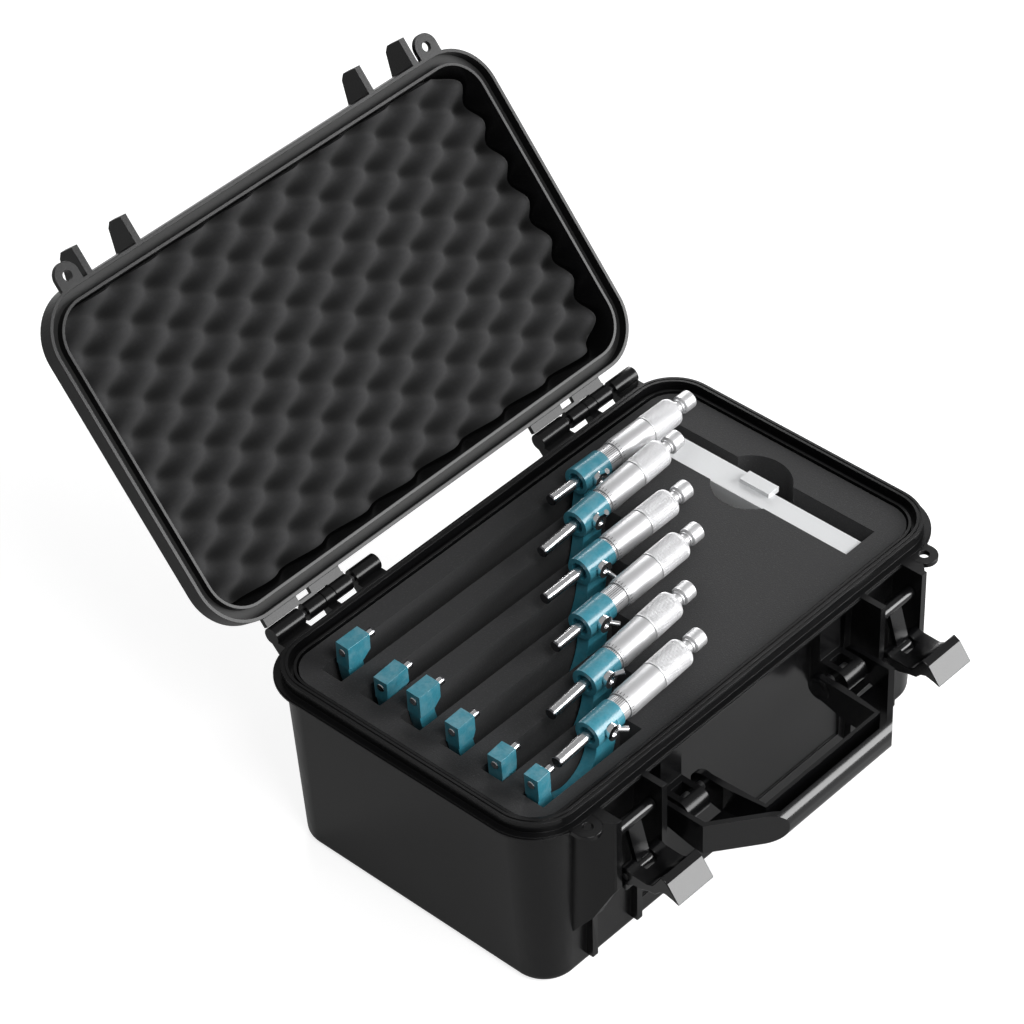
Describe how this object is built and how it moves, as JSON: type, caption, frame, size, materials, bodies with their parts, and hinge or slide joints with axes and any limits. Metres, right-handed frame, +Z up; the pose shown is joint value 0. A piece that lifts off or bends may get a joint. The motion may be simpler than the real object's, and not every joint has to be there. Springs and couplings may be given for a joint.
{
  "type": "micrometer case",
  "caption": "Hard-shell case with hinged lid, draw latches, folding handle and foam that holds outside micrometers of rising size and a clear accessory box.",
  "frame": {"origin": "centre of the footprint, on the surface the case stands on", "axes": "+Z up, +X along the hinge side to the right seen from the latches, +Y from the latches to the hinges"},
  "size_m": [0.3252, 0.4154, 0.2835],
  "materials": {
    "shell_plastic": "satin moulded black",
    "fitting_plastic": "smooth moulded black",
    "base_foam": "fine cut foam, charcoal",
    "lid_foam": "convoluted foam, charcoal",
    "seal_rubber": "matt rubber",
    "pin_steel": "blackened steel",
    "clear_plastic": "clear moulded plastic",
    "frame_paint": "blue-green enamel with fine orange peel",
    "ground_steel": "ground and polished steel",
    "lock_chrome": "bright chrome",
    "satin_chrome": "satin chrome"
  },
  "bodies": {
    "base": {"base_shell": "shell_plastic", "padlock_ears": "shell_plastic", "base_foam": "base_foam", "accessory_box": "clear_plastic", "accessory_box_lid": "clear_plastic", "hinge_pins": "pin_steel", "latch_pivot_pins": "pin_steel", "handle_pins": "pin_steel"},
    "lid": {"lid_shell": "shell_plastic", "lid_foam": "lid_foam", "lid_gasket": "seal_rubber"},
    "latch_link_left": {"latch_link_left": "fitting_plastic"},
    "latch_lever_left": {"latch_lever_left": "fitting_plastic", "latch_link_pin_left": "pin_steel"},
    "latch_link_right": {"latch_link_right": "fitting_plastic"},
    "latch_lever_right": {"latch_lever_right": "fitting_plastic", "latch_link_pin_right": "pin_steel"},
    "handle": {"handle": "fitting_plastic"},
    "micrometer_1": {"micrometer_frame_1": "frame_paint", "micrometer_anvil_1": "ground_steel", "micrometer_sleeve_1": "satin_chrome"},
    "spindle_1": {"micrometer_spindle_1": "ground_steel"},
    "thimble_1": {"micrometer_thimble_1": "satin_chrome"},
    "ratchet_1": {"micrometer_ratchet_1": "satin_chrome"},
    "lock_1": {"micrometer_lock_1": "lock_chrome"},
    "micrometer_2": {"micrometer_frame_2": "frame_paint", "micrometer_anvil_2": "ground_steel", "micrometer_sleeve_2": "satin_chrome"},
    "spindle_2": {"micrometer_spindle_2": "ground_steel"},
    "thimble_2": {"micrometer_thimble_2": "satin_chrome"},
    "ratchet_2": {"micrometer_ratchet_2": "satin_chrome"},
    "lock_2": {"micrometer_lock_2": "lock_chrome"},
    "micrometer_3": {"micrometer_frame_3": "frame_paint", "micrometer_anvil_3": "ground_steel", "micrometer_sleeve_3": "satin_chrome"},
    "spindle_3": {"micrometer_spindle_3": "ground_steel"},
    "thimble_3": {"micrometer_thimble_3": "satin_chrome"},
    "ratchet_3": {"micrometer_ratchet_3": "satin_chrome"},
    "lock_3": {"micrometer_lock_3": "lock_chrome"},
    "micrometer_4": {"micrometer_frame_4": "frame_paint", "micrometer_anvil_4": "ground_steel", "micrometer_sleeve_4": "satin_chrome"},
    "spindle_4": {"micrometer_spindle_4": "ground_steel"},
    "thimble_4": {"micrometer_thimble_4": "satin_chrome"},
    "ratchet_4": {"micrometer_ratchet_4": "satin_chrome"},
    "lock_4": {"micrometer_lock_4": "lock_chrome"},
    "micrometer_5": {"micrometer_frame_5": "frame_paint", "micrometer_anvil_5": "ground_steel", "micrometer_sleeve_5": "satin_chrome"},
    "spindle_5": {"micrometer_spindle_5": "ground_steel"},
    "thimble_5": {"micrometer_thimble_5": "satin_chrome"},
    "ratchet_5": {"micrometer_ratchet_5": "satin_chrome"},
    "lock_5": {"micrometer_lock_5": "lock_chrome"},
    "micrometer_6": {"micrometer_frame_6": "frame_paint", "micrometer_anvil_6": "ground_steel", "micrometer_sleeve_6": "satin_chrome"},
    "spindle_6": {"micrometer_spindle_6": "ground_steel"},
    "thimble_6": {"micrometer_thimble_6": "satin_chrome"},
    "ratchet_6": {"micrometer_ratchet_6": "satin_chrome"},
    "lock_6": {"micrometer_lock_6": "lock_chrome"}
  },
  "joints": [
    {"name": "lid_hinge", "type": "hinge", "parent": "base", "child": "lid", "pos_m": [0, 0.1078, 0.1138], "axis": [-1, 0, 0], "range_deg": [-130.3, 0], "deforming": ["lid_foam"]},
    {"name": "latch_link_left_swing", "type": "hinge", "parent": "base", "child": "latch_link_left", "pos_m": [-0.1027, -0.1055, 0.0975], "axis": [1, 0, 0], "range_deg": [-163.6, 0]},
    {"name": "latch_lever_left_turn", "type": "hinge", "parent": "latch_link_left", "child": "latch_lever_left", "pos_m": [-0.1027, -0.11301, 0.07198], "axis": [1, 0, 0], "range_deg": [0, 253.6]},
    {"name": "latch_link_right_swing", "type": "hinge", "parent": "base", "child": "latch_link_right", "pos_m": [0.1027, -0.1055, 0.0975], "axis": [1, 0, 0], "range_deg": [-163.6, 0]},
    {"name": "latch_lever_right_turn", "type": "hinge", "parent": "latch_link_right", "child": "latch_lever_right", "pos_m": [0.1027, -0.11301, 0.07198], "axis": [1, 0, 0], "range_deg": [0, 253.6]},
    {"name": "handle_fold", "type": "hinge", "parent": "base", "child": "handle", "pos_m": [0, -0.1045, 0.0795], "axis": [1, 0, 0], "range_deg": [0, 85]},
    {"name": "micrometer_1_lift", "type": "slide", "parent": "base", "child": "micrometer_1", "axis": [0, 0, 1], "range_m": [0, 0.056]},
    {"name": "spindle_1_slide", "type": "slide", "parent": "micrometer_1", "child": "spindle_1", "axis": [0.9984, 0.0209, 0.0523], "range_m": [-0.0036, 0.0218]},
    {"name": "thimble_1_turn", "type": "hinge", "parent": "spindle_1", "child": "thimble_1", "pos_m": [-0.094, -0.0694, 0.1249], "axis": [0.9984, 0.0209, 0.0523], "range_deg": [-2042.14, 12360.26]},
    {"name": "ratchet_1_slip", "type": "hinge", "parent": "thimble_1", "child": "ratchet_1", "pos_m": [-0.094, -0.0694, 0.1249], "axis": [0.9984, 0.0209, 0.0523], "continuous": true},
    {"name": "lock_1_turn", "type": "hinge", "parent": "micrometer_1", "child": "lock_1", "pos_m": [-0.08425, -0.077, 0.1254], "axis": [0.0209, -0.9998, 0], "range_deg": [0, 45]},
    {"name": "micrometer_2_lift", "type": "slide", "parent": "base", "child": "micrometer_2", "axis": [0, 0, 1], "range_m": [0, 0.0678]},
    {"name": "spindle_2_slide", "type": "slide", "parent": "micrometer_2", "child": "spindle_2", "axis": [0.9977, 0.0383, 0.0558], "range_m": [0, 0.0254]},
    {"name": "thimble_2_turn", "type": "hinge", "parent": "spindle_2", "child": "thimble_2", "pos_m": [-0.0668, -0.0436, 0.1248], "axis": [0.9977, 0.0383, 0.0558], "range_deg": [0, 14401.2]},
    {"name": "ratchet_2_slip", "type": "hinge", "parent": "thimble_2", "child": "ratchet_2", "pos_m": [-0.0668, -0.0436, 0.1248], "axis": [0.9977, 0.0383, 0.0558], "continuous": true},
    {"name": "lock_2_turn", "type": "hinge", "parent": "micrometer_2", "child": "lock_2", "pos_m": [-0.05692, -0.05103, 0.12534], "axis": [0.0384, -0.9993, 0], "range_deg": [0, 45]},
    {"name": "micrometer_3_lift", "type": "slide", "parent": "base", "child": "micrometer_3", "axis": [0, 0, 1], "range_m": [0, 0.0796]},
    {"name": "spindle_3_slide", "type": "slide", "parent": "micrometer_3", "child": "spindle_3", "axis": [0.9991, 0.0052, 0.0419], "range_m": [-0.008, 0.0174]},
    {"name": "thimble_3_turn", "type": "hinge", "parent": "spindle_3", "child": "thimble_3", "pos_m": [-0.0376, -0.0145, 0.1254], "axis": [0.9991, 0.0052, 0.0419], "range_deg": [-4536.63, 9865.77]},
    {"name": "ratchet_3_slip", "type": "hinge", "parent": "thimble_3", "child": "ratchet_3", "pos_m": [-0.0376, -0.0145, 0.1254], "axis": [0.9991, 0.0052, 0.0419], "continuous": true},
    {"name": "lock_3_turn", "type": "hinge", "parent": "micrometer_3", "child": "lock_3", "pos_m": [-0.02797, -0.02225, 0.1258], "axis": [0.0052, -1, 0], "range_deg": [0, 45]},
    {"name": "micrometer_4_lift", "type": "slide", "parent": "base", "child": "micrometer_4", "axis": [0, 0, 1], "range_m": [0, 0.0914]},
    {"name": "spindle_4_slide", "type": "slide", "parent": "micrometer_4", "child": "spindle_4", "axis": [0.9997, -0.0035, 0.0244], "range_m": [-0.0002, 0.0252]},
    {"name": "thimble_4_turn", "type": "hinge", "parent": "spindle_4", "child": "thimble_4", "pos_m": [-0.0066, 0.0133, 0.1255], "axis": [0.9997, -0.0035, 0.0244], "range_deg": [-114.59, 14287.81]},
    {"name": "ratchet_4_slip", "type": "hinge", "parent": "thimble_4", "child": "ratchet_4", "pos_m": [-0.0066, 0.0133, 0.1255], "axis": [0.9997, -0.0035, 0.0244], "continuous": true},
    {"name": "lock_4_turn", "type": "hinge", "parent": "micrometer_4", "child": "lock_4", "pos_m": [0.00297, 0.00547, 0.12574], "axis": [-0.0035, -1, 0], "range_deg": [0, 45]},
    {"name": "micrometer_5_lift", "type": "slide", "parent": "base", "child": "micrometer_5", "axis": [0, 0, 1], "range_m": [0, 0.1032]},
    {"name": "spindle_5_slide", "type": "slide", "parent": "micrometer_5", "child": "spindle_5", "axis": [0.9985, 0.0227, 0.0489], "range_m": [-0.0004, 0.025]},
    {"name": "thimble_5_turn", "type": "hinge", "parent": "spindle_5", "child": "thimble_5", "pos_m": [0.0198, 0.0399, 0.1251], "axis": [0.9985, 0.0227, 0.0489], "range_deg": [-227.97, 14174.43]},
    {"name": "ratchet_5_slip", "type": "hinge", "parent": "thimble_5", "child": "ratchet_5", "pos_m": [0.0198, 0.0399, 0.1251], "axis": [0.9985, 0.0227, 0.0489], "continuous": true},
    {"name": "lock_5_turn", "type": "hinge", "parent": "micrometer_5", "child": "lock_5", "pos_m": [0.02956, 0.03232, 0.12557], "axis": [0.0227, -0.9997, 0], "range_deg": [0, 45]},
    {"name": "micrometer_6_lift", "type": "slide", "parent": "base", "child": "micrometer_6", "axis": [0, 0, 1], "range_m": [0, 0.115]},
    {"name": "spindle_6_slide", "type": "slide", "parent": "micrometer_6", "child": "spindle_6", "axis": [1, -0.0087, 0.0035], "range_m": [-0.0069, 0.0185]},
    {"name": "thimble_6_turn", "type": "hinge", "parent": "spindle_6", "child": "thimble_6", "pos_m": [0.047, 0.0632, 0.1237], "axis": [1, -0.0087, 0.0035], "range_deg": [-3913.01, 10489.39]},
    {"name": "ratchet_6_slip", "type": "hinge", "parent": "thimble_6", "child": "ratchet_6", "pos_m": [0.047, 0.0632, 0.1237], "axis": [1, -0.0087, 0.0035], "continuous": true},
    {"name": "lock_6_turn", "type": "hinge", "parent": "micrometer_6", "child": "lock_6", "pos_m": [0.05653, 0.05532, 0.12373], "axis": [-0.0087, -1, 0], "range_deg": [0, 45]}
  ],
  "couplings": [
    {"joint": "latch_lever_left_turn", "follows": "latch_link_left_swing", "ratio": -1.55},
    {"joint": "latch_lever_right_turn", "follows": "latch_link_right_swing", "ratio": -1.55},
    {"joint": "thimble_1_turn", "follows": "spindle_1_slide", "rad_per_m": 9894.8},
    {"joint": "thimble_2_turn", "follows": "spindle_2_slide", "rad_per_m": 9894.8},
    {"joint": "thimble_3_turn", "follows": "spindle_3_slide", "rad_per_m": 9894.8},
    {"joint": "thimble_4_turn", "follows": "spindle_4_slide", "rad_per_m": 9894.8},
    {"joint": "thimble_5_turn", "follows": "spindle_5_slide", "rad_per_m": 9894.8},
    {"joint": "thimble_6_turn", "follows": "spindle_6_slide", "rad_per_m": 9894.8}
  ]
}
